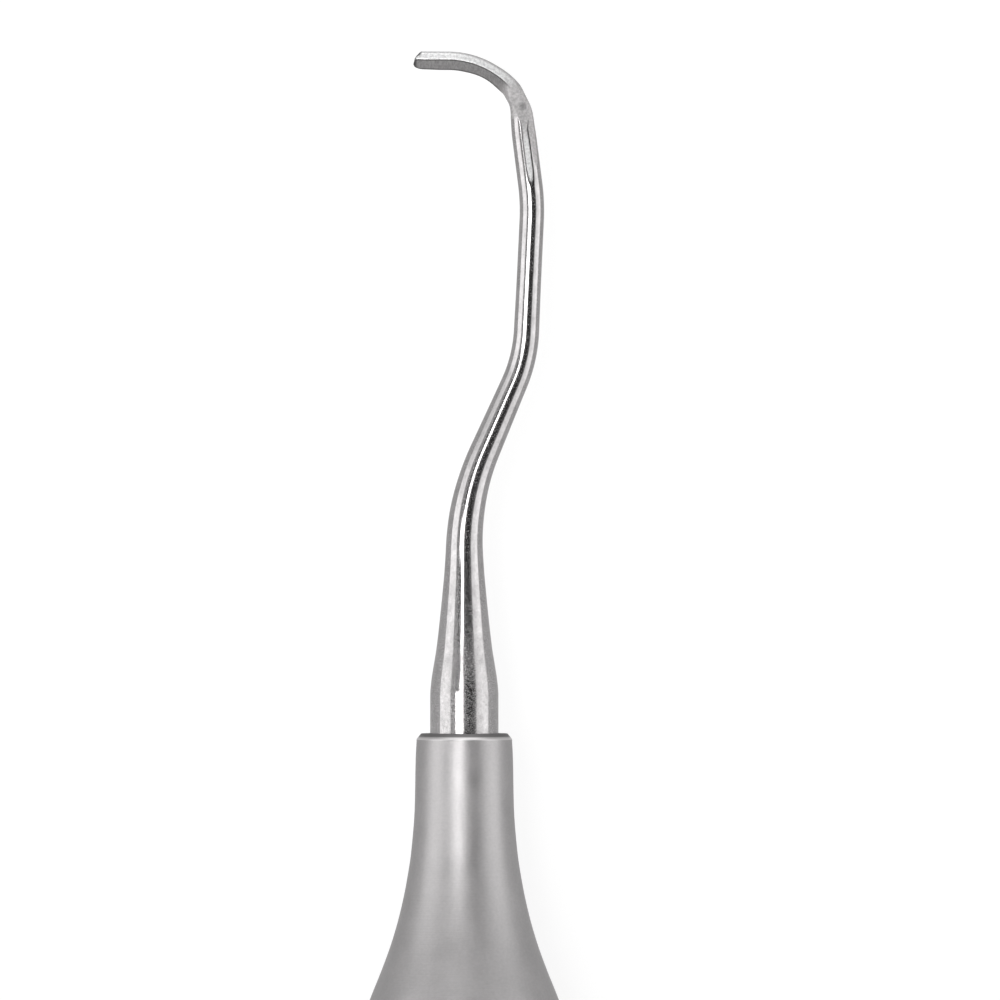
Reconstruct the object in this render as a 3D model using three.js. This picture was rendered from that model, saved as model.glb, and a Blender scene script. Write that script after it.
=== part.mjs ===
// Double-ended hand scaler, lying on its side. Millimetres, +Z up.
// The handle axis runs along Y at the height of the barrel radius, and the two
// working ends hook out sideways in the horizontal plane, end A to -X and end B to +X.
import * as THREE from 'three';

// ---- Driving dimensions ----------------------------------------------------

const HANDLE_LENGTH = 110.0;    // rim to rim of the two nose cones
const BARREL_RADIUS = 5.0;
const BARREL_WALL = 0.6;
const NOSE_LENGTH = 15.7;       // visible trumpet, from the barrel's end face to the rim
const FIT_GAP = 0.05;           // radial room between coaxial pieces
const FACE_GAP = 0.05;          // room between the barrel's end faces and the nose shoulders

const SPIGOT_LENGTH = 8.0;      // plug of the nose cone inside the barrel
const SPIGOT_RADIUS = BARREL_RADIUS - BARREL_WALL - FIT_GAP;
const SPIGOT_BORE = 2.9;        // the back of the nose cone is bored out to save weight
const SPIGOT_BORE_END = 14.2;   // distance back from the rim where that bore stops
const SEAL_GROOVE_START = 3.0;  // from the shoulder, along the spigot
const SEAL_GROOVE_WIDTH = 1.3;
const SEAL_GROOVE_DEPTH = 0.75;
const SEAL_RADIAL = 0.6;
const SEAL_AXIAL = 1.0;

const TANG_RADIUS = 1.6;
const TANG_DEPTH = 10.0;        // tang length inside the nose cone
const TANG_CHAMFER = 0.3;
const TANG_BORE_DEPTH = 10.6;
const RIM_LAND = 0.25;          // chamfer at the mouth of the tang bore

const SHANK_TIP_RADIUS = 0.575;
const BLADE_FACE_WIDTH = 0.9;
const BLADE_DEPTH = 0.63;       // from the face to the rounded back
const FACE_TILT = THREE.MathUtils.degToRad(28.5);
const FACE_RISE = 0.19;         // the face lies this far to the inner side of the centreline
const BLADE_START = 28.9;       // along the centreline, where the round shank begins to change
const BLADE_FULL = 31.4;        // where the curette section is complete
const TOE_LENGTH = 0.62;        // rounded toe
const TOE_LEAD = 0.22;          // the face runs this far past the back at the toe

const ROUND_SIDES = 32;
const SHANK_SIDES = 20;
const STEP_LENGTH = 0.55;       // loft step on the bends and the blade

// Centreline of a working end, from the nose rim to the toe. A bend turns to the left
// for a positive angle, seen from above with the tip pointing away.
const LEGS = [
  { straight: 8.69 },
  { radius: 11.5, turn: -23.5 },
  { straight: 3.47 },
  { radius: 7.0, turn: 20.8 },
  { straight: 5.51 },
  { radius: 5.9, turn: 10.0 },
  { straight: 3.57 },
  { radius: 2.4, turn: 36.9 },
  { radius: 3.9, turn: 45.5 },
  { straight: 1.56 },
];

// Radius of the round shank against distance along the centreline.
const SHANK_TAPER = [
  [2.0, 1.6], [2.6, 1.54], [3.3, 1.43], [4.0, 1.315], [4.9, 1.205], [5.9, 1.1],
  [6.8, 1.01], [7.7, 0.93], [8.7, 0.87], [10.5, 0.81], [12.4, 0.735], [14.5, 0.68],
  [16.9, 0.625], [19.4, 0.595], [22.0, SHANK_TIP_RADIUS],
];

// Radius of the nose cone against distance back from the rim.
const NOSE_PROFILE = [
  [0.0, 1.95], [0.06, 2.13], [0.3, 2.25], [1.2, 2.28], [3.3, 2.32], [5.4, 2.46],
  [6.8, 2.67], [8.2, 2.95], [9.6, 3.32], [11.0, 3.85], [12.3, 4.39], [13.3, 4.73],
  [14.4, 4.93], [NOSE_LENGTH, BARREL_RADIUS],
];

// ---- Materials -------------------------------------------------------------

const satinSteel = new THREE.MeshStandardMaterial({ color: 0xa9a8a8, roughness: 0.42, metalness: 1 });
const polishedSteel = new THREE.MeshStandardMaterial({ color: 0xc4c4c4, roughness: 0.12, metalness: 1 });
const sealRubber = new THREE.MeshStandardMaterial({ color: 0x2b2b2c, roughness: 0.75, metalness: 0 });

// ---- Shape helpers ---------------------------------------------------------

// Solid of revolution about the Y axis. The profile lists [radius, y] and closes on itself.
// A flat faces straight down, and the flats, not the corners, lie at the stated radii.
function turned(profile) {
  const outward = 1 / Math.cos(Math.PI / ROUND_SIDES);
  const points = profile.map(([radius, y]) => new THREE.Vector2(radius * outward, y));
  return new THREE.LatheGeometry(points, ROUND_SIDES, Math.PI / ROUND_SIDES, 2 * Math.PI);
}

function interpolate(table, at) {
  if (at <= table[0][0]) {
    return table[0][1];
  }
  for (let i = 1; i < table.length; i += 1) {
    const [start, from] = table[i - 1];
    const [end, to] = table[i];
    if (at <= end) {
      return from + (to - from) * (at - start) / (end - start);
    }
  }
  return table[table.length - 1][1];
}

function smoothStep(low, high, at) {
  const part = THREE.MathUtils.clamp((at - low) / (high - low), 0, 1);
  return part * part * (3 - 2 * part);
}

// Stations along the centreline, each with its place, heading and distance from the rim.
function centreline() {
  let heading = Math.PI / 2;
  let along = 0;
  const place = new THREE.Vector2(0, 0);
  const stations = [{ x: 0, y: -TANG_DEPTH, heading, along: -TANG_DEPTH }];
  const stop = () => stations.push({ x: place.x, y: place.y, heading, along });
  stop();
  for (const leg of LEGS) {
    const turn = THREE.MathUtils.degToRad(leg.turn ?? 0);
    const length = leg.straight ?? leg.radius * Math.abs(turn);
    const steps = Math.max(1, Math.ceil(length / STEP_LENGTH));
    for (let i = 0; i < steps; i += 1) {
      const middle = heading + turn / steps / 2;
      const bow = turn === 0 ? 1 : Math.sin(turn / steps / 2) / (turn / steps / 2);
      place.x += Math.cos(middle) * bow * length / steps;
      place.y += Math.sin(middle) * bow * length / steps;
      heading += turn / steps;
      along += length / steps;
      stop();
    }
  }
  return stations;
}

// One cross-section point: u runs across the blade's face towards its upper cutting edge,
// v stands on the face. The round shank section blends into the half-round curette section.
function sectionPoint(angle, along, total) {
  const radius = along < SHANK_TAPER[0][0] ? TANG_RADIUS : interpolate(SHANK_TAPER, along);
  const blend = smoothStep(BLADE_START, BLADE_FULL, along);
  const toToe = THREE.MathUtils.clamp((total - along) / TOE_LENGTH, 0, 1);
  const toe = Math.sqrt(Math.max(0, 1 - (1 - toToe) ** 2));
  const width = (radius + (BLADE_FACE_WIDTH / 2 - radius) * blend) * Math.max(toe, 0.25);
  const onBack = Math.sin(angle) < 0;
  const bladeHeight = onBack ? BLADE_DEPTH * Math.max(toe, 0.25) : 0;
  const height = radius + (bladeHeight - radius) * blend;
  return [width * Math.cos(angle), height * Math.sin(angle) + FACE_RISE * blend];
}

// ---- Pieces ----------------------------------------------------------------

function workingEndGeometry() {
  const stations = centreline();
  const total = stations[stations.length - 1].along;
  const rings = [];
  const addRing = (station, shrink) => {
    const inward = new THREE.Vector3(-Math.sin(station.heading), Math.cos(station.heading), 0);
    const up = new THREE.Vector3(0, 0, 1);
    const across = up.clone().multiplyScalar(Math.cos(FACE_TILT)).addScaledVector(inward, -Math.sin(FACE_TILT));
    const onFace = inward.clone().multiplyScalar(Math.cos(FACE_TILT)).addScaledVector(up, Math.sin(FACE_TILT));
    const ahead = new THREE.Vector3(Math.cos(station.heading), Math.sin(station.heading), 0);
    const ring = [];
    for (let i = 0; i < SHANK_SIDES; i += 1) {
      const [u, v] = sectionPoint(2 * Math.PI * i / SHANK_SIDES, station.along, total);
      const lean = TOE_LEAD * smoothStep(total - TOE_LENGTH, total, station.along) * v / BLADE_DEPTH;
      const point = new THREE.Vector3(station.x, station.y, 0);
      point.addScaledVector(across, u * shrink).addScaledVector(onFace, v * shrink).addScaledVector(ahead, lean);
      ring.push(point);
    }
    rings.push(ring);
  };
  const [innerEnd, ...rest] = stations;
  addRing(innerEnd, (TANG_RADIUS - TANG_CHAMFER) / TANG_RADIUS);
  addRing({ ...innerEnd, y: innerEnd.y + TANG_CHAMFER }, 1);
  rest.filter((station) => station.along === 0 || station.along >= SHANK_TAPER[0][0] - STEP_LENGTH / 2)
    .forEach((station) => addRing(station, 1));
  return loft(rings);
}

// Closed skin over a row of rings, with a flat fan at each end.
function loft(rings) {
  const sides = rings[0].length;
  const positions = rings.flat().flatMap((point) => point.toArray());
  const index = [];
  for (let row = 0; row + 1 < rings.length; row += 1) {
    for (let i = 0; i < sides; i += 1) {
      const next = (i + 1) % sides;
      const a = row * sides + i;
      const b = row * sides + next;
      index.push(a, a + sides, b, b, a + sides, b + sides);
    }
  }
  const last = (rings.length - 1) * sides;
  for (let i = 1; i + 1 < sides; i += 1) {
    index.push(0, i, i + 1);
    index.push(last, last + i + 1, last + i);
  }
  const geometry = new THREE.BufferGeometry();
  geometry.setAttribute('position', new THREE.Float32BufferAttribute(positions, 3));
  geometry.setIndex(index);
  geometry.computeVertexNormals();
  return geometry;
}

// Nose cone, with its rim at y = 0 and its spigot at negative y.
function noseConeGeometry() {
  const bore = TANG_RADIUS + FIT_GAP;
  const shoulder = -NOSE_LENGTH;
  const grooveStart = shoulder - SEAL_GROOVE_START;
  const grooveEnd = grooveStart - SEAL_GROOVE_WIDTH;
  const grooveFloor = SPIGOT_RADIUS - SEAL_GROOVE_DEPTH;
  const spigotEnd = shoulder - SPIGOT_LENGTH;
  const outside = NOSE_PROFILE.map(([back, radius]) => [radius, -back]).reverse();
  return turned([
    [0, -SPIGOT_BORE_END],
    [SPIGOT_BORE, -SPIGOT_BORE_END],
    [SPIGOT_BORE, spigotEnd],
    [SPIGOT_RADIUS, spigotEnd],
    [SPIGOT_RADIUS, grooveEnd],
    [grooveFloor, grooveEnd],
    [grooveFloor, grooveStart],
    [SPIGOT_RADIUS, grooveStart],
    [SPIGOT_RADIUS, shoulder],
    ...outside,
    [bore + RIM_LAND, 0],
    [bore, -RIM_LAND],
    [bore, -TANG_BORE_DEPTH],
    [0, -TANG_BORE_DEPTH],
  ]);
}

function barrelGeometry() {
  const half = HANDLE_LENGTH / 2 - NOSE_LENGTH - FACE_GAP;
  const inner = BARREL_RADIUS - BARREL_WALL;
  return turned([
    [inner, -half],
    [BARREL_RADIUS, -half],
    [BARREL_RADIUS, half],
    [inner, half],
    [inner, -half],
  ]);
}

// Sealing ring seated in the spigot groove.
function sealRingGeometry() {
  const outer = BARREL_RADIUS - BARREL_WALL - FIT_GAP;
  const inner = outer - SEAL_RADIAL;
  const middle = -NOSE_LENGTH - SEAL_GROOVE_START - SEAL_GROOVE_WIDTH / 2;
  return turned([
    [inner, middle - SEAL_AXIAL / 2],
    [outer, middle - SEAL_AXIAL / 2],
    [outer, middle + SEAL_AXIAL / 2],
    [inner, middle + SEAL_AXIAL / 2],
    [inner, middle - SEAL_AXIAL / 2],
  ]);
}

function piece(name, geometry, material) {
  const mesh = new THREE.Mesh(geometry, material);
  mesh.name = name;
  return mesh;
}

// Everything at one end of the handle, its nose rim at y = 0.
function endSet(suffix) {
  const set = new THREE.Group();
  set.add(piece(`nose_cone_${suffix}`, noseConeGeometry(), satinSteel));
  set.add(piece(`working_end_${suffix}`, workingEndGeometry(), polishedSteel));
  set.add(piece(`seal_ring_${suffix}`, sealRingGeometry(), sealRubber));
  return set;
}

// ---- Assembly --------------------------------------------------------------

const scaler = new THREE.Group();
scaler.position.z = BARREL_RADIUS;
scaler.add(piece('handle_barrel', barrelGeometry(), satinSteel));

const endA = endSet('a');
endA.position.y = HANDLE_LENGTH / 2;
scaler.add(endA);

// End B is the mirror-image partner of end A, inverted through the handle's centre.
const endB = endSet('b');
endB.position.y = -HANDLE_LENGTH / 2;
endB.scale.set(-1, -1, -1);
scaler.add(endB);

export default scaler;
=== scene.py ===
"""Double-ended hand scaler, lying on a pale floor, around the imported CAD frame.

Sizes are in millimetres, as in the part's source, and turned into metres as each mesh is made.
"""
import math

import bpy
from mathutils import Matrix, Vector


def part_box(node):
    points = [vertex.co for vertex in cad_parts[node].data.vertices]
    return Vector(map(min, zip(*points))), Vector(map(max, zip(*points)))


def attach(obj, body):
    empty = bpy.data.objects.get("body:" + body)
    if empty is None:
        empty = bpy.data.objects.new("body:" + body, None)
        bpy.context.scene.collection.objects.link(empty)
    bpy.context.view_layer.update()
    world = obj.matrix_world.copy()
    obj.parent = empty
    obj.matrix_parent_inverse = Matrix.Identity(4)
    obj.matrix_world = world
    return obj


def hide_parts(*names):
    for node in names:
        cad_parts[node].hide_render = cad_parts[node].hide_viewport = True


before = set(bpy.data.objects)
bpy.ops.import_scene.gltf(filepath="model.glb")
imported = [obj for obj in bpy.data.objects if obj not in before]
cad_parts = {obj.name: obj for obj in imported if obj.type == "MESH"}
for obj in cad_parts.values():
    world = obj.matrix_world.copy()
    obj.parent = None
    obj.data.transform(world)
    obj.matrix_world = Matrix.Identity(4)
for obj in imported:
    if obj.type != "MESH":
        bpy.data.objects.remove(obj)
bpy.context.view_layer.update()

MM = 0.001

# ---- Sizes, taken from the frame where it gives them ------------------------

BARREL_LOW, BARREL_HIGH = [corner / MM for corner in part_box("handle_barrel")]
BARREL_RADIUS = (BARREL_HIGH.z - BARREL_LOW.z) / 2
AXIS_HEIGHT = (BARREL_HIGH.z + BARREL_LOW.z) / 2
BARREL_HALF = BARREL_HIGH.y
BARREL_WALL = 0.6
RIM_Y = 55.0                    # nose rim of end A
NOSE_LENGTH = 15.7
SPIGOT_LENGTH = 8.0
SPIGOT_RADIUS = 4.35
SPIGOT_BORE = 2.9
SPIGOT_BORE_END = 14.2
GROOVE_START = 3.0
GROOVE_WIDTH = 1.3
GROOVE_FLOOR = 3.6
TANG_RADIUS = 1.6
TANG_BORE = 1.65
TANG_DEPTH = 10.0
TANG_BORE_DEPTH = 10.6
TANG_CHAMFER = 0.3
TANG_CHAMFER_SCALE = 0.81       # section at the tang's inner end
TANG_PLAIN_END = 1.9            # up to here from the rim the tang needs no rings of points
CREASE_DEGREES = 35             # edges sharper than this stay crisp

# Centreline of a working end from the rim to the toe. Positive bends turn left.
LEGS = (
    ("straight", 8.69, 0.0),
    ("bend", 11.5, -23.5),
    ("straight", 3.47, 0.0),
    ("bend", 7.0, 20.8),
    ("straight", 5.15, 0.0),
    ("bend", 10.0, 10.0),
    ("straight", 3.21, 0.0),
    ("bend", 2.4, 36.9),
    ("bend", 3.9, 45.5),
    ("straight", 1.62, 0.0),
)
FINE_FROM = 24.9                # distance from the rim where the rings lie closer
FINE_STEP = 0.06
COARSE_STEP = 0.16

# Radius of the round shank against distance from the rim.
SHANK_TAPER = (
    (2.0, TANG_RADIUS), (2.6, 1.54), (3.3, 1.43), (4.0, 1.315), (4.9, 1.205), (5.9, 1.1),
    (6.8, 1.01), (7.7, 0.93), (8.7, 0.87), (10.5, 0.81), (12.4, 0.735), (14.5, 0.68),
    (16.9, 0.625), (19.4, 0.595), (22.0, 0.575), (28.0, 0.57), (30.0, 0.55),
)

# Radius of the nose cone against distance back from the rim.
NOSE_PROFILE = (
    (0.3, 2.235), (0.5, 2.25), (1.2, 2.28), (3.3, 2.32), (5.4, 2.48), (6.8, 2.69),
    (8.2, 2.98), (9.6, 3.37), (11.0, 3.87), (12.3, 4.39), (13.3, 4.73), (14.4, 4.93),
    (15.5, 4.995),
)
NOSE_SIDES = 160
NOSE_ROWS = 110
AXIS_HOLE = 0.02                # radius at which a closed end meets the axis
SPIGOT_CHAMFER = 0.3
SHOULDER_ROUNDING = 0.16

# Rim of the nose cone: a rounded lip whose colour holds a painted highlight, then a chamfer and bore
# whose colour holds painted shade. Pairs are radius and distance back from the rim.
LIP_CENTRE = (2.11, 0.24)
LIP_ROUNDING = 0.13
LIP_FOOT = (2.15, 0.083)
CHAMFER_START = (2.13, 0.058)
EDGE_RADIUS = 1.98
EDGE_ROUNDING = 0.08
BORE_CHAMFER = 0.06

# Blade section, square to the centreline: first number towards the inside of the hook,
# second number upwards. The face runs from the far edge to the near edge.
NEAR_EDGE = (-0.07, 0.44)
FAR_EDGE = (0.405, -0.345)
BACK_POINT = (-0.45, 0.02)
NEAR_SIDE_HANDLES = ((-0.36, 0.415), (-0.45, 0.28))
FAR_SIDE_HANDLES = ((-0.45, -0.38), (0.107, -0.53))
FACE_CENTRE = ((NEAR_EDGE[0] + FAR_EDGE[0]) / 2, (NEAR_EDGE[1] + FAR_EDGE[1]) / 2)
BLADE_START = 30.3
BLADE_FULL = 31.5
NEAR_TOE_ROUNDING = 0.16
FAR_TOE_ROUNDING = 0.5
TOE_POWER = 2.2
TOE_LEAST = 0.05                # part of the section that is left at the very end
TOE_NARROWING = 0.16            # how much the far side has narrowed before the toe
TOE_NARROWING_LENGTH = 1.2
TOE_BACK_SLOPE = 0.36
TOE_BACK_POWER = 1.25

# Flats ground on the upper side of the shank next to the blade. Each has its lean to the
# outside of the hook in degrees and its height over the centreline.
UPPER_FLAT = {
    "lean": ((28.8, 6.0), (29.5, 14.0), (30.4, 6.0), (31.4, 5.0)),
    "height": (
        (26.2, 0.577), (26.45, 0.558), (27.0, 0.546), (28.8, 0.543), (29.2, 0.515), (29.5, 0.46),
        (30.1, 0.38), (30.8, 0.38), (31.4, 0.444),
    ),
}
OUTER_FLAT = {
    "lean": ((29.0, 44.0), (31.0, 28.0)),
    "height": ((26.9, 0.577), (27.4, 0.557), (28.2, 0.543), (29.2, 0.50), (30.2, 0.45), (31.4, 0.47)),
}

# Where the shank meets the blade it is ground thinner from the inside to the outside.
NECK_THICKNESS = ((28.7, 1.0), (29.45, 0.93), (29.8, 0.86), (30.25, 0.77), (30.8, 0.745))
NECK_FULLNESS = 0.5
# The two halves of the section are then trimmed on their own.
INNER_TRIM = ((31.2, 1.0), (32.2, 0.9), (33.3, 1.0))
OUTER_TRIM = ((28.9, 1.0), (30.0, 1.09), (31.1, 1.09), (32.0, 1.0))

# Small dark spot in the colour, on the upper flat where its grinding ends.
DARK_SPOT_ALONG = 29.92
DARK_SPOT_INWARD = -0.15
DARK_SPOT_RADIUS = 0.23
DARK_SPOT_FADE = (0.4, 1.0)         # in parts of its radius
DARK_SPOT_DARKNESS = 0.4

# Finish and painted light of the working end: distances from the rim between which each one changes.
UPPER_FLAT_HIGHLIGHT_FADE = (27.8, 29.3)
SEAM_SHADE_END = (29.0, 29.5)
GROUND_START = (29.3, 29.6)
FACE_START = (30.8, 31.5)
WHETTED_HIGHLIGHT_START = (30.6, 31.6)
DULL_BACK_END = (33.0, 34.2)
HANDLING_WEAR = (3.0, 10.0)
# Distances from an edge or from the toe.
FLAT_EDGE = (0.0, 0.01)
SEAM_SHADE_WIDTH = (0.005, 0.019)
TOE_OUTLINE = (0.08, 0.2)
# Parts of the way across the face, and from its edge to the back point.
FACE_OUTLINE = (0.02, 0.17)
# Less painted highlight on the back part of the near side, short of the toe.
DULL_BACK = (0.3, 0.6)
DULL_BACK_DULLNESS = 0.9
DARK_BACK = (0.15, 0.45)
DARK_BACK_END = (0.8, 1.15)     # in parts of the toe's back slope


# ---- Number helpers ----------------------------------------------------------

def clamp(value, low=0.0, high=1.0):
    return max(low, min(high, value))


def smooth_step(low, high, at):
    part = clamp((at - low) / (high - low))
    return part * part * (3 - 2 * part)


def curve_through(table, at):
    """Smooth curve through (place, value) rows without overshoot (monotone cubic)."""
    if at <= table[0][0]:
        return table[0][1]
    if at >= table[-1][0]:
        return table[-1][1]
    slopes = [(b[1] - a[1]) / (b[0] - a[0]) for a, b in zip(table, table[1:])]
    row = max(i for i in range(len(slopes)) if table[i][0] <= at)

    def tangent(i):
        if i == 0 or i == len(slopes):
            return slopes[min(i, len(slopes) - 1)]
        before, after = slopes[i - 1], slopes[i]
        if before * after <= 0:
            return 0.0
        return 2 * before * after / (before + after)

    (start, low), (end, high) = table[row], table[row + 1]
    width = end - start
    t = (at - start) / width
    return (
        low * (1 + 2 * t) * (1 - t) ** 2
        + high * t * t * (3 - 2 * t)
        + width * tangent(row) * t * (1 - t) ** 2
        - width * tangent(row + 1) * t * t * (1 - t)
    )


def bezier(points, t):
    weights = ((1 - t) ** 3, 3 * t * (1 - t) ** 2, 3 * t * t * (1 - t), t ** 3)
    return tuple(sum(w * p[k] for w, p in zip(weights, points)) for k in range(2))


# ---- Mesh helpers ------------------------------------------------------------

def make_object(name, points, faces, material, flip=False, attributes=None):
    """Mesh object from points in millimetres, smooth shaded, with crisp edges kept."""
    mesh = bpy.data.meshes.new(name)
    if flip:
        faces = [tuple(reversed(face)) for face in faces]
    mesh.from_pydata([tuple(c * MM for c in p) for p in points], [], faces)
    mesh.update()
    mesh.polygons.foreach_set("use_smooth", [True] * len(mesh.polygons))
    mesh.set_sharp_from_angle(angle=math.radians(CREASE_DEGREES))
    for key, values in (attributes or {}).items():
        layer = mesh.attributes.new(key, "FLOAT", "POINT")
        layer.data.foreach_set("value", values)
    mesh.materials.append(material)
    piece = bpy.data.objects.new(name, mesh)
    bpy.context.scene.collection.objects.link(piece)
    return piece


def inverted(points):
    """The same points, inverted through the middle of the handle."""
    return [(-x, -y, 2 * AXIS_HEIGHT - z) for x, y, z in points]


def skin(ring_count, sides, first=0):
    """Quads that join rings of points lying one after the other."""
    faces = []
    for row in range(ring_count - 1):
        for i in range(sides):
            j = (i + 1) % sides
            a = first + row * sides
            faces.append((a + i, a + j, a + sides + j, a + sides + i))
    return faces


def turned_points(profile, sides):
    """Rings of a solid turned about the handle axis. Each profile row is (radius, y)."""
    points = []
    for radius, y in profile:
        for i in range(sides):
            angle = 2 * math.pi * i / sides
            points.append((radius * math.sin(angle), y, AXIS_HEIGHT + radius * math.cos(angle)))
    return points


def repeated(values, count):
    """Each value as many times as a ring has points."""
    return [value for value in values for _ in range(count)]


def rounded_corner(centre, radius, start, end, steps):
    """Arc of profile rows about centre (radius, y), between two angles from the outward direction."""
    rows = []
    for i in range(steps + 1):
        angle = math.radians(start + (end - start) * i / steps)
        rows.append((centre[0] + radius * math.cos(angle), centre[1] + radius * math.sin(angle)))
    return rows


# ---- Working end -------------------------------------------------------------

def stations():
    """Places along the centreline: x, y, heading, distance from the rim."""
    heading = math.pi / 2
    x = y = along = 0.0
    rows = [(x, y, heading, along)]
    for kind, size, degrees in LEGS:
        turn = math.radians(degrees)
        length = size if kind == "straight" else size * abs(turn)
        step = FINE_STEP if along > FINE_FROM else COARSE_STEP
        steps = max(1, round(length / step))
        for i in range(steps):
            middle = heading + turn / steps / 2
            bow = 1.0 if turn == 0 else math.sin(turn / steps / 2) / (turn / steps / 2)
            x += math.cos(middle) * bow * length / steps
            y += math.sin(middle) * bow * length / steps
            heading += turn / steps
            along += length / steps
            rows.append((x, y, heading, along))
    return rows


def section_angles():
    """Angles round the section. Both edges of the face and the back point are among them."""
    near = math.atan2(NEAR_EDGE[1], NEAR_EDGE[0])
    back = math.atan2(BACK_POINT[1], BACK_POINT[0])
    far = math.atan2(FAR_EDGE[1], FAR_EDGE[0])
    parts = ((far, near, 56, "face"), (near, back, 44, "near"), (back, far + 2 * math.pi, 26, "far"))
    return [
        (start + (end - start) * i / count, i / count, side)
        for start, end, count, side in parts
        for i in range(count)
    ]


def blade_point(part, side):
    if side == "face":
        return tuple(FAR_EDGE[k] + (NEAR_EDGE[k] - FAR_EDGE[k]) * part for k in range(2))
    if side == "near":
        return bezier((NEAR_EDGE, *NEAR_SIDE_HANDLES, BACK_POINT), part)
    return bezier((BACK_POINT, *FAR_SIDE_HANDLES, FAR_EDGE), part)


def toe_shape(along, total):
    """How wide the near and far sides are, and how deep the back is, next to the toe."""
    left = total - along

    def rounded(length):
        part = 1 - (1 - clamp(left / length)) ** TOE_POWER
        return max(TOE_LEAST, part ** (1 / TOE_POWER))

    narrowed = 1 - TOE_NARROWING * (1 - clamp(left / TOE_NARROWING_LENGTH))
    deep = max(TOE_LEAST, 1 - (1 - clamp(left / TOE_BACK_SLOPE)) ** TOE_BACK_POWER)
    return rounded(NEAR_TOE_ROUNDING), rounded(FAR_TOE_ROUNDING) * narrowed, deep


def grind(p, along):
    """Point cut back to the flats, how far it is ground, its painted highlight, and its painted shade by
    how near a seam it is.
    """
    ground = bright = seam_shade = 0.0
    for flat in (UPPER_FLAT, OUTER_FLAT):
        if along <= flat["height"][0][0]:
            continue
        lean = math.radians(curve_through(flat["lean"], along))
        normal = (-math.sin(lean), math.cos(lean))
        over = p[0] * normal[0] + p[1] * normal[1] - curve_through(flat["height"], along)
        cut = smooth_step(*FLAT_EDGE, over)
        if flat is UPPER_FLAT:
            # The upper flat's colour is lightened: ground finish with a painted highlight that fades
            # towards the neck.
            bright = cut * (1 - smooth_step(*UPPER_FLAT_HIGHLIGHT_FADE, along))
            # Painted shade: a dark line in the colour along the upper flat's edge.
            seam_shade = (1 - smooth_step(*SEAM_SHADE_WIDTH, abs(over))) * (1 - smooth_step(*SEAM_SHADE_END, along))
        ground = max(ground, cut)
        if over > 0:
            p = [p[k] - over * normal[k] for k in range(2)]
    return p, ground, bright, seam_shade


def section(along, total, angles):
    """Points (inward, up) of the section at a station, with the finish, painted highlight and painted
    shade at each of them.
    """
    by_toe = (total - along) / TOE_BACK_SLOPE
    radius = curve_through(SHANK_TAPER, along)
    blend = smooth_step(BLADE_START, BLADE_FULL, along)
    near_wide, far_wide, deep = toe_shape(along, total)
    face_line = (NEAR_EDGE[0] - FAR_EDGE[0], NEAR_EDGE[1] - FAR_EDGE[1])
    length = math.hypot(*face_line)
    across = (face_line[0] / length, face_line[1] / length)
    out = (across[1], -across[0])
    neck = curve_through(NECK_THICKNESS, along)
    fullness = 1 + NECK_FULLNESS * blend * (1 - blend)
    rows = []
    for angle, part, side in angles:
        round_point = (fullness * radius * neck * math.cos(angle), radius * math.sin(angle))
        edge = blade_point(part, side)
        rel = (edge[0] - FACE_CENTRE[0], edge[1] - FACE_CENTRE[1])
        u = rel[0] * across[0] + rel[1] * across[1]
        u *= near_wide if u > 0 else far_wide
        v = (rel[0] * out[0] + rel[1] * out[1]) * deep
        edge = (FACE_CENTRE[0] + u * across[0] + v * out[0], FACE_CENTRE[1] + u * across[1] + v * out[1])
        p = [round_point[k] + (edge[k] - round_point[k]) * blend for k in range(2)]
        p[0] *= curve_through(INNER_TRIM if p[0] > 0 else OUTER_TRIM, along)
        p, ground, bright, shade = grind(p, along)
        on_face = 0.0
        # On the face the colour is darkened: partly its ground finish, partly painted shade.
        if side == "face":
            on_face = smooth_step(*FACE_START, along) if 0 < part < 1 else 0.0
            # Painted shade along both edges of the face.
            shade = max(shade, on_face * (1 - smooth_step(*FACE_OUTLINE, min(part, 1 - part))))
        else:
            to_back = part if side == "near" else 1.0
            dull_back = smooth_step(*DULL_BACK, to_back) * (1 - smooth_step(*DULL_BACK_END, along))
            # The blade's sides away from the face are lightened in colour: whetted finish with a painted
            # highlight.
            whetted_highlight = smooth_step(*WHETTED_HIGHLIGHT_START, along) * (1 - DULL_BACK_DULLNESS * dull_back)
            bright = max(bright, whetted_highlight)
            # Painted shade on the back part near the toe.
            dark_back = smooth_step(*DARK_BACK, to_back) * (1 - smooth_step(*DARK_BACK_END, by_toe))
            shade = max(shade, dark_back)
        # Painted shade round the toe's end.
        shade = max(shade, 1 - smooth_step(*TOE_OUTLINE, total - along))
        from_dark_spot = math.hypot(along - DARK_SPOT_ALONG, p[0] - DARK_SPOT_INWARD) / DARK_SPOT_RADIUS
        if p[1] > 0:
            shade = max(shade, DARK_SPOT_DARKNESS * (1 - smooth_step(*DARK_SPOT_FADE, from_dark_spot)))
        rows.append({
            "at": p,
            "ground": max(ground, smooth_step(*GROUND_START, along)),
            "blade_face": on_face,
            "whetted_highlight": bright,
            "shade": shade,
            "worn": 1 - smooth_step(*HANDLING_WEAR, along),
        })
    return rows


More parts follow.
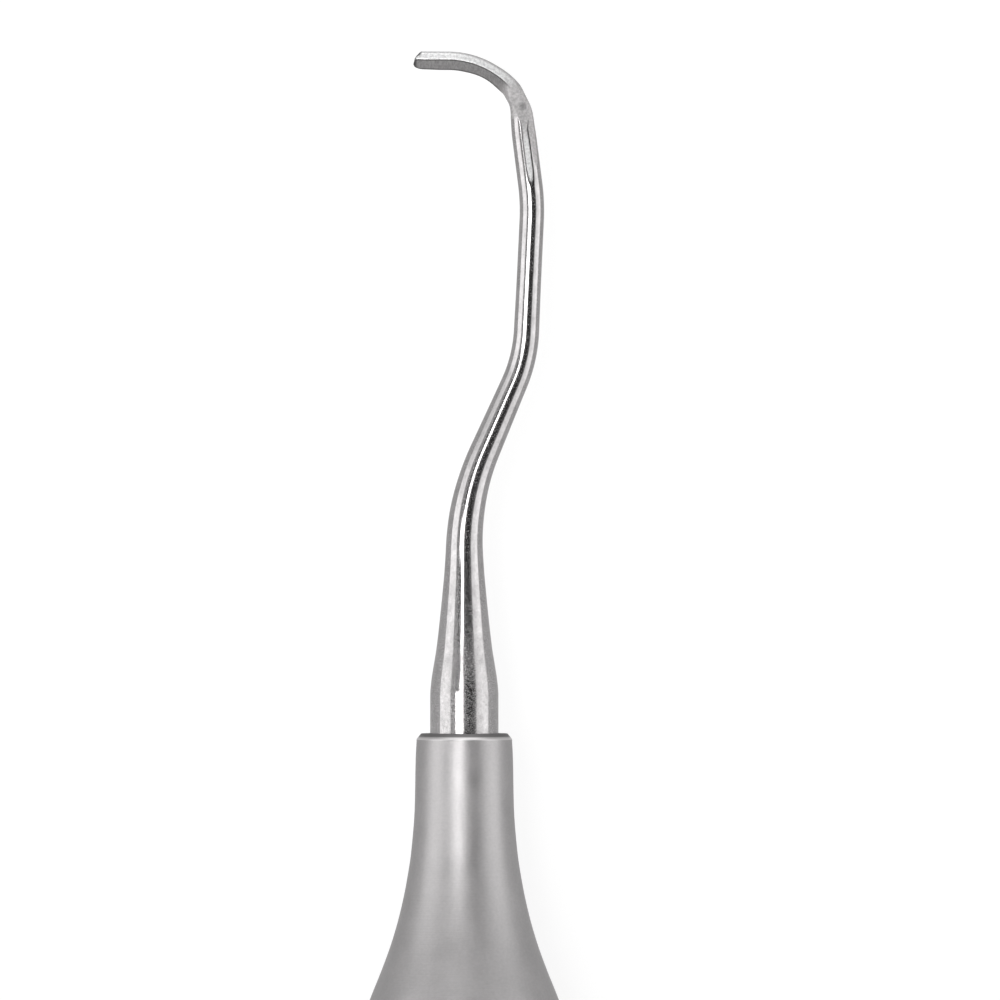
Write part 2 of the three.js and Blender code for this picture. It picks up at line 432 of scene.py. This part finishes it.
def working_end(name, replaced, material, mirrored):
    angles = section_angles()
    sides = len(angles)
    line = stations()
    total = line[-1][3]
    heading = math.pi / 2
    inner = [
        (0.0, -TANG_DEPTH, heading, 0.0, TANG_CHAMFER_SCALE),
        (0.0, -TANG_DEPTH + TANG_CHAMFER, heading, 0.0, 1.0),
    ]
    rows = inner + [(*row, 1.0) for row in line if row[3] == 0 or row[3] >= TANG_PLAIN_END]
    points = []
    # Per-point finish, with the painted highlight and the painted shade among it.
    finish = {key: [] for key in ("ground", "blade_face", "whetted_highlight", "shade", "worn")}
    for x, y, heading, along, scale in rows:
        inward = (-math.sin(heading), math.cos(heading))
        for row in section(along, total, angles):
            n, up = row["at"][0] * scale, row["at"][1] * scale
            points.append((x + inward[0] * n, RIM_Y + y + inward[1] * n, AXIS_HEIGHT + up))
            for key, values in finish.items():
                values.append(row[key])
    faces = skin(len(rows), sides)
    faces.append(tuple(reversed(range(sides))))
    last = (len(rows) - 1) * sides
    faces.append(tuple(range(last, last + sides)))
    if mirrored:
        points = inverted(points)
    piece = make_object(name, points, faces, material, flip=not mirrored, attributes=finish)
    finish_piece(piece, replaced)


# ---- Nose cone and barrel ----------------------------------------------------

def nose_cone(name, replaced, material, mirrored):
    shoulder = RIM_Y - NOSE_LENGTH
    groove_start = shoulder - GROOVE_START
    groove_end = groove_start - GROOVE_WIDTH
    rows = [
        (AXIS_HOLE, RIM_Y - SPIGOT_BORE_END),
        (SPIGOT_BORE, RIM_Y - SPIGOT_BORE_END),
        (SPIGOT_BORE, shoulder - SPIGOT_LENGTH),
        (SPIGOT_RADIUS - SPIGOT_CHAMFER, shoulder - SPIGOT_LENGTH),
        (SPIGOT_RADIUS, shoulder - SPIGOT_LENGTH + SPIGOT_CHAMFER),
        (SPIGOT_RADIUS, groove_end),
        (GROOVE_FLOOR, groove_end),
        (GROOVE_FLOOR, groove_start),
        (SPIGOT_RADIUS, groove_start),
        (SPIGOT_RADIUS, shoulder),
        (BARREL_RADIUS - SHOULDER_ROUNDING, shoulder),
    ]
    corner = (BARREL_RADIUS - SHOULDER_ROUNDING, shoulder + SHOULDER_ROUNDING)
    rows += rounded_corner(corner, SHOULDER_ROUNDING, -80, 0, 6)
    first, last = NOSE_PROFILE[-1][0], NOSE_PROFILE[0][0]
    for i in range(1, NOSE_ROWS + 1):
        back = first + (last - first) * i / NOSE_ROWS
        rows.append((curve_through(NOSE_PROFILE, back), RIM_Y - back))
    # The lip's rows start here; their colour is a painted highlight.
    highlight_start = len(rows)
    rows += rounded_corner((LIP_CENTRE[0], RIM_Y - LIP_CENTRE[1]), LIP_ROUNDING, 6, 36, 5)
    rows.append((LIP_FOOT[0], RIM_Y - LIP_FOOT[1]))
    chamfer = len(rows)
    rows.append((CHAMFER_START[0], RIM_Y - CHAMFER_START[1]))
    rows += rounded_corner((EDGE_RADIUS, RIM_Y), EDGE_ROUNDING, 38, 90, 5)
    rows += [
        (TANG_BORE + BORE_CHAMFER, RIM_Y + EDGE_ROUNDING),
        (TANG_BORE, RIM_Y),
        (TANG_BORE, RIM_Y - TANG_BORE_DEPTH),
        (AXIS_HOLE, RIM_Y - TANG_BORE_DEPTH),
    ]
    sides = NOSE_SIDES
    points = turned_points(rows, sides)
    faces = skin(len(rows), sides)
    faces.append(tuple(reversed(range(sides))))
    end = (len(rows) - 1) * sides
    faces.append(tuple(range(end, end + sides)))
    if mirrored:
        points = inverted(points)
    # Painted highlight on the lip, painted shade on the chamfer and in the bore.
    lip = [1.0 if highlight_start < row < chamfer - 1 else 0.0 for row in range(len(rows))]
    ring = [1.0 if row >= chamfer else 0.0 for row in range(len(rows))]
    marks = {"lip_painted_highlight": repeated(lip, sides), "ring_painted_shade": repeated(ring, sides)}
    piece = make_object(name, points, faces, material, flip=mirrored, attributes=marks)
    finish_piece(piece, replaced)


KNURL_STARTS = 32
KNURL_SAMPLES = 6
KNURL_DEPTH = 0.17
KNURL_GROOVE_WIDTH = 0.36       # half a groove's width, in parts of the pitch
KNURL_BAND = (11.0, 31.0)       # distance from the middle of the handle, on both halves
RING_GROOVES = (8.9, 9.9, 32.1, 33.1, 34.1)
RING_DEPTH = 0.22
RING_HALF_WIDTH = 0.26
RING_STEPS = 8                  # steps from the middle of a ring groove to its edge
# Painted shade in the knurl and ring grooves: how much their bottoms are darkened in the colour.
GROOVE_PAINTED_SHADE = 0.6
GROOVE_SHADE_MARGIN = 4.0        # the ring grooves lie this close to the knurled bands
BARREL_CHAMFER = 0.12
BAND_GAP = 0.01


def knurl_depth(column, row):
    """Depth of the two crossing families of V grooves at a lattice point of the band."""
    def groove(step):
        off = abs(step / KNURL_SAMPLES - round(step / KNURL_SAMPLES))
        return max(0.0, 1 - off / KNURL_GROOVE_WIDTH)
    return KNURL_DEPTH * max(groove(column + row), groove(column - row))


def barrel(material):
    sides = KNURL_STARTS * KNURL_SAMPLES
    pitch = 2 * math.pi * BARREL_RADIUS / sides
    low, high = KNURL_BAND
    band_rows = round((high - low) / pitch)
    rows = []

    def plain(at):
        depth = 0.0
        for groove in RING_GROOVES:
            off = abs(abs(at) - groove) / RING_HALF_WIDTH
            if off < 1:
                depth = RING_DEPTH * math.sqrt(1 - off * off)
        rows.append((at, [depth] * sides))

    def band(start):
        for i in range(band_rows + 1):
            edge = min(i, band_rows - i)
            fade = clamp(edge / KNURL_SAMPLES * 2)
            depths = [knurl_depth(column, i) * fade for column in range(sides)]
            rows.append((start + (high - low) * i / band_rows, depths))

    def stretch(start, end):
        places = {start, end}
        for groove in RING_GROOVES:
            for sign in (-1, 1):
                for i in range(-RING_STEPS, RING_STEPS + 1):
                    at = sign * groove + RING_HALF_WIDTH * math.sin(math.pi / 2 * i / RING_STEPS)
                    if start <= at <= end:
                        places.add(round(at, 4))
        for at in sorted(places):
            plain(at)

    rows.append((-BARREL_HALF, [BARREL_CHAMFER] * sides))
    stretch(-BARREL_HALF + BARREL_CHAMFER, -high - BAND_GAP)
    band(-high)
    stretch(-low + BAND_GAP, low - BAND_GAP)
    band(low)
    stretch(high + BAND_GAP, BARREL_HALF - BARREL_CHAMFER)
    rows.append((BARREL_HALF, [BARREL_CHAMFER] * sides))
    rows.append((BARREL_HALF, [BARREL_WALL] * sides))
    rows.append((-BARREL_HALF, [BARREL_WALL] * sides))
    points, groove = [], []
    for y, depths in rows:
        # Groove bottoms get painted shade in the colour, by their depth.
        groove_shade = GROOVE_PAINTED_SHADE if abs(y) < high + GROOVE_SHADE_MARGIN else 0.0
        for i, depth in enumerate(depths):
            groove.append(groove_shade * clamp(depth / KNURL_DEPTH))
            angle = 2 * math.pi * i / sides
            radius = BARREL_RADIUS - depth
            points.append((radius * math.sin(angle), y, AXIS_HEIGHT + radius * math.cos(angle)))
    faces = skin(len(rows), sides)
    top = (len(rows) - 1) * sides
    faces += [(top + i, top + (i + 1) % sides, (i + 1) % sides, i) for i in range(sides)]
    piece = make_object("barrel_shell", points, faces, material, attributes={"groove": groove})
    finish_piece(piece, "handle_barrel")


def finish_piece(piece, replaced):
    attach(piece, "root")
    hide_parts(replaced)


# ---- Materials ---------------------------------------------------------------

class Nodes:
    """Small wrapper that makes and links shader nodes."""

    def __init__(self, tree):
        self.tree = tree
        tree.nodes.clear()

    def add(self, kind, inputs=None, **settings):
        node = self.tree.nodes.new(kind)
        for key, value in settings.items():
            setattr(node, key, value)
        for key, value in (inputs or {}).items():
            if isinstance(value, bpy.types.NodeSocket):
                self.tree.links.new(value, node.inputs[key])
            else:
                node.inputs[key].default_value = value
        return node

    def math(self, operation, *values):
        return self.add("ShaderNodeMath", dict(enumerate(values)), operation=operation).outputs[0]

    def spread(self, value, low, high, to_low, to_high):
        keys = {"Value": value, "From Min": low, "From Max": high, "To Min": to_low, "To Max": to_high}
        return self.add("ShaderNodeMapRange", keys).outputs[0]

    def stretched_noise(self, scale, detail=2.0, roughness=0.5):
        """Noise in the object's own space, with its own scale along x, y and z, per millimetre."""
        place = self.add("ShaderNodeTexCoord").outputs["Object"]
        per_metre = tuple(part / MM for part in scale)
        mapped = self.add("ShaderNodeMapping", {"Vector": place, "Scale": per_metre}).outputs[0]
        keys = {"Vector": mapped, "Scale": 1.0, "Detail": detail, "Roughness": roughness}
        return self.add("ShaderNodeTexNoise", keys).outputs["Fac"]


def new_material(name):
    material = bpy.data.materials.new(name)
    material.use_nodes = True
    return material, Nodes(material.node_tree)


def grey(value):
    return (value, value, value, 1.0)


def close_material(nodes, shader):
    nodes.add("ShaderNodeOutputMaterial", {"Surface": shader.outputs[0]})


def grey_mix(nodes, factor, low, high):
    """Grey that runs from low to high with the factor."""
    mix = nodes.add("ShaderNodeMix", {"Factor": factor}, data_type="RGBA")
    mix.inputs["A"].default_value = low
    mix.inputs["B"].default_value = high
    return mix.outputs["Result"]


def tinted(value):
    """Steel's grey, a touch warm."""
    return (value, value * 0.975, value * 0.98, 1.0)


# Painted light on the satin pieces: attribute, grey value, roughness. The lip holds a painted highlight,
# the rim's ring and the grooves hold painted shade.
PAINTED_LIGHT_ON_SATIN = (("lip_painted_highlight", 0.78, 0.3), ("ring_painted_shade", 0.2, 0.5), ("groove", 0.13, 0.5))


def satin_steel(name, base, roughness):
    """Turned stainless steel: fine rings round the axis, faint handling marks, and painted highlight and
    shade from the mesh's attributes.
    """
    material, nodes = new_material(name)
    rings = nodes.stretched_noise((0.35, 16.0, 0.35), detail=3.0, roughness=0.6)
    cloud = nodes.stretched_noise((0.9, 0.6, 0.9), detail=4.0, roughness=0.55)
    speck = nodes.stretched_noise((7.0, 9.0, 7.0), detail=2.0)
    tone = nodes.math("MULTIPLY_ADD", cloud, 0.5, nodes.math("MULTIPLY", speck, 0.5))
    tone = nodes.spread(tone, 0.35, 0.65, 0.0, 1.0)
    colour = grey_mix(nodes, tone, tinted(base * 0.94), tinted(base * 1.06))
    rough = nodes.spread(cloud, 0.35, 0.65, roughness - 0.03, roughness + 0.03)
    for key, shade, finish in PAINTED_LIGHT_ON_SATIN:
        there = nodes.add("ShaderNodeAttribute", attribute_name=key).outputs["Fac"]
        mix = nodes.add("ShaderNodeMix", {"Factor": there}, data_type="RGBA")
        nodes.tree.links.new(colour, mix.inputs["A"])
        mix.inputs["B"].default_value = tinted(shade)
        colour = mix.outputs["Result"]
        keys = {"Factor": there, "A": rough, "B": finish}
        rough = nodes.add("ShaderNodeMix", keys, data_type="FLOAT").outputs["Result"]
    relief = nodes.math("MULTIPLY_ADD", speck, 0.35, rings)
    bump = nodes.add("ShaderNodeBump", {"Height": relief, "Strength": 0.5, "Distance": 0.012 * MM})
    shader = nodes.add("ShaderNodeBsdfPrincipled", {
        "Base Color": colour, "Metallic": 1.0, "Roughness": rough, "Normal": bump.outputs[0],
    })
    close_material(nodes, shader)
    return material


def tip_steel():
    """Polished shank that turns into a ground blade, by the mesh's own attributes, with painted
    highlight and painted shade in the colour.
    """
    material, nodes = new_material("polished_tip_steel")

    def attribute(key):
        return nodes.add("ShaderNodeAttribute", attribute_name=key).outputs["Fac"]

    def mixed(factor, low, high):
        keys = {"Factor": factor, "A": low, "B": high}
        return nodes.add("ShaderNodeMix", keys, data_type="FLOAT").outputs["Result"]

    ground, face, whetted_highlight = map(attribute, ("ground", "blade_face", "whetted_highlight"))
    shade, worn = map(attribute, ("shade", "worn"))
    scuff = nodes.stretched_noise((2.6, 1.6, 2.6), detail=6.0, roughness=0.7)
    fine = nodes.stretched_noise((9.0, 9.0, 9.0), detail=3.0, roughness=0.6)
    marks = nodes.stretched_noise((14.0, 3.0, 5.0), detail=2.0)
    grain = nodes.stretched_noise((42.0, 30.0, 42.0), detail=0.0)
    haze = nodes.math("ADD", grain, nodes.spread(worn, 0.0, 1.0, -0.13, -0.03))
    haze = nodes.math("ADD", haze, nodes.spread(scuff, 0.3, 0.7, -0.05, 0.05))
    polish = nodes.spread(haze, 0.5, 0.62, 0.07, 0.5)
    rough = mixed(ground, polish, 0.6)
    rough = mixed(nodes.math("MAXIMUM", whetted_highlight, face), rough, 0.46)
    tone = nodes.spread(nodes.math("MULTIPLY_ADD", fine, 0.4, scuff), 0.5, 0.9, 0.0, 1.0)
    bare = grey_mix(nodes, tone, tinted(0.6), tinted(0.44))
    dull = grey_mix(nodes, nodes.spread(fine, 0.35, 0.65, 0.0, 1.0), tinted(0.46), tinted(0.66))
    # The face's colour is darker than the bare steel: partly its own ground finish, partly painted
    # shade.
    cut = grey_mix(nodes, nodes.spread(marks, 0.35, 0.65, 0.0, 1.0), tinted(0.31), tinted(0.44))
    # Colour lightened towards white: a painted highlight on the whetted and ground surfaces, over their
    # finish.
    bright = grey_mix(nodes, nodes.spread(fine, 0.35, 0.65, 0.0, 1.0), grey(0.74), grey(1.0))
    # Dark colour for the shade attribute: painted shade along the seams, the face's edges, the back and
    # the toe, and the small dark spot on the upper flat.
    dark = grey_mix(nodes, fine, tinted(0.06), tinted(0.14))
    colour = bare
    for factor, other in ((ground, dull), (whetted_highlight, bright), (face, cut), (shade, dark)):
        mix = nodes.add("ShaderNodeMix", {"Factor": factor}, data_type="RGBA")
        nodes.tree.links.new(colour, mix.inputs["A"])
        nodes.tree.links.new(other, mix.inputs["B"])
        colour = mix.outputs["Result"]
    relief = nodes.math("MULTIPLY_ADD", fine, 0.6, marks)
    height = nodes.math("MULTIPLY", relief, nodes.spread(ground, 0.0, 1.0, 0.15, 1.0))
    bump = nodes.add("ShaderNodeBump", {"Height": height, "Strength": 0.4, "Distance": 0.004 * MM})
    shader = nodes.add("ShaderNodeBsdfPrincipled", {
        "Base Color": colour, "Metallic": 1.0, "Roughness": rough, "Normal": bump.outputs[0],
    })
    close_material(nodes, shader)
    return material


def seal_rubber():
    material, nodes = new_material("seal_rubber")
    cloud = nodes.stretched_noise((1.5, 1.5, 1.5), detail=3.0)
    colour = grey_mix(nodes, cloud, grey(0.02), grey(0.045))
    rough = nodes.spread(cloud, 0.3, 0.7, 0.6, 0.75)
    shader = nodes.add("ShaderNodeBsdfPrincipled", {"Base Color": colour, "Roughness": rough})
    close_material(nodes, shader)
    return material


# ---- Stage -------------------------------------------------------------------

FLOOR_SIZE = 80.0
FLOOR_GLOW = 0.82
FLOOR_COLOUR = 0.24
FLOOR_IN_METAL = 0.54
SKY_PALE = 0.94
# Soft boxes run along the handle. Each row is (angle from straight up, towards +X, radiance).
BRIGHTEST = 1.8
BANDS = (
    (-180, 0.54), (-109, 0.54), (-102, 1.68), (-51, 1.68), (-45, 0.4), (-33, 0.36), (-27, 0.08),
    (-16, 0.12), (-5, 0.65), (0, 0.22), (8, 0.05), (28, 0.05), (38, 0.2), (45, 1.25),
    (62, 1.42), (74, 1.64), (85, 1.64), (93, 0.54), (180, 0.54),
)
# The brightest soft box, a short one a little to the left of straight up. Its left half is
# the shorter. Each half ends between two slopes along the handle.
KEY_LEFT = ((-30, 0.0), (-27, 1.0), (-16, 1.0), (-14, 0.0))
KEY_LEFT_END = (0.05, 0.14)
KEY_RIGHT = ((-16, 0.0), (-14, 1.0), (-7, 1.0), (-3, 0.0))
KEY_RIGHT_END = (0.17, 0.45)
KEY_RADIANCE = 6.4
# Towards the ends of the handle the boxes fade into a plain glow, brighter right at the end.
BOXES_FADE = (0.16, 0.62)
GLOW_RISE = (0.8, 0.97)
GLOW = (0.66, 1.8)

# Camera straight over the visible end.
LENS = 600.0
SENSOR = 36.0
FIELD = 46.8                    # width of the picture at the height of the axis
VIEW_X = 1.67
VIEW_PAST_RIM = 11.0


def sky():
    """Procedural studio sky: long soft boxes over the object, plain pale to the camera."""
    world = bpy.data.worlds.new("studio_sky")
    bpy.context.scene.world = world
    world.use_nodes = True
    nodes = Nodes(world.node_tree)
    direction = nodes.add("ShaderNodeTexCoord").outputs["Generated"]
    split = nodes.add("ShaderNodeSeparateXYZ", {"Vector": direction})
    x, y, z = split.outputs
    round_axis = nodes.spread(nodes.math("ARCTAN2", x, z), -math.pi, math.pi, 0.0, 1.0)

    def bands(rows, top):
        ramp = nodes.add("ShaderNodeValToRGB", {"Fac": round_axis})
        stops = ramp.color_ramp.elements
        while len(stops) < len(rows):
            stops.new(0.5)
        for stop, (degrees, radiance) in zip(stops, rows):
            stop.position = (degrees + 180) / 360
            stop.color = grey(radiance / top)
        return nodes.math("MULTIPLY", ramp.outputs["Color"], top)

    def fade(low, high):
        keys = {"Value": along, "From Min": low, "From Max": high}
        return nodes.add("ShaderNodeMapRange", keys, interpolation_type="SMOOTHSTEP").outputs[0]

    along = nodes.math("ABSOLUTE", y)
    halves = [
        nodes.math("MULTIPLY", bands(half, 1.0), nodes.math("SUBTRACT", 1.0, fade(*ends)))
        for half, ends in ((KEY_LEFT, KEY_LEFT_END), (KEY_RIGHT, KEY_RIGHT_END))
    ]
    key = nodes.math("ADD", *halves)
    boxes = nodes.math("MULTIPLY_ADD", key, KEY_RADIANCE, bands(BANDS, BRIGHTEST))
    far = nodes.spread(along, *GLOW_RISE, *GLOW)
    light = nodes.add("ShaderNodeMix", {"Factor": fade(*BOXES_FADE), "A": boxes, "B": far},
                      data_type="FLOAT")
    seen = nodes.add("ShaderNodeLightPath").outputs["Is Camera Ray"]
    strength = nodes.add("ShaderNodeMix", {"Factor": seen, "A": light.outputs["Result"], "B": SKY_PALE},
                         data_type="FLOAT")
    background = nodes.add("ShaderNodeBackground", {
        "Color": grey(1.0), "Strength": strength.outputs["Result"],
    })
    nodes.add("ShaderNodeOutputWorld", {"Surface": background.outputs[0]})


def floor():
    """Large pale floor. Metal sees it a little darker, as it would see a studio's floor."""
    material, nodes = new_material("pale_floor")
    glow = nodes.add("ShaderNodeEmission", {"Color": grey(1.0), "Strength": FLOOR_GLOW})
    matt = nodes.add("ShaderNodeBsdfDiffuse", {"Color": grey(FLOOR_COLOUR)})
    pale = nodes.add("ShaderNodeAddShader", {0: glow.outputs[0], 1: matt.outputs[0]})
    dim = nodes.add("ShaderNodeEmission", {"Color": grey(1.0), "Strength": FLOOR_IN_METAL})
    glossy = nodes.add("ShaderNodeLightPath").outputs["Is Glossy Ray"]
    mixed = nodes.add("ShaderNodeMixShader", {0: glossy, 1: pale.outputs[0], 2: dim.outputs[0]})
    close_material(nodes, mixed)
    half = FLOOR_SIZE / 2 / MM
    corners = [(-half, -half, 0.0), (half, -half, 0.0), (half, half, 0.0), (-half, half, 0.0)]
    plane = make_object("floor", corners, [(0, 1, 2, 3)], material)


def camera():
    """Straight down on end A, from far away."""
    data = bpy.data.cameras.new("camera")
    data.lens = LENS
    data.sensor_width = SENSOR
    data.clip_end = 200.0
    eye = bpy.data.objects.new("camera", data)
    height = AXIS_HEIGHT + FIELD * LENS / SENSOR
    eye.location = Vector((VIEW_X, RIM_Y + VIEW_PAST_RIM, height)) * MM
    bpy.context.scene.collection.objects.link(eye)
    bpy.context.scene.camera = eye


# ---- Scene -------------------------------------------------------------------

def build():
    camera()
    sky()
    floor()
    bpy.context.scene.view_settings.view_transform = "Standard"
    handle_metal = satin_steel("satin_handle_steel", 0.52, 0.36)
    nose_metal = satin_steel("satin_nose_steel", 0.47, 0.43)
    tip_metal = tip_steel()
    rubber = seal_rubber()
    barrel(handle_metal)
    for suffix, mirrored in (("a", False), ("b", True)):
        nose_cone(f"nose_{suffix}", f"nose_cone_{suffix}", nose_metal, mirrored)
        working_end(f"tip_{suffix}", f"working_end_{suffix}", tip_metal, mirrored)
        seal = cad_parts[f"seal_ring_{suffix}"]
        seal.data.materials.clear()
        seal.data.materials.append(rubber)


build()
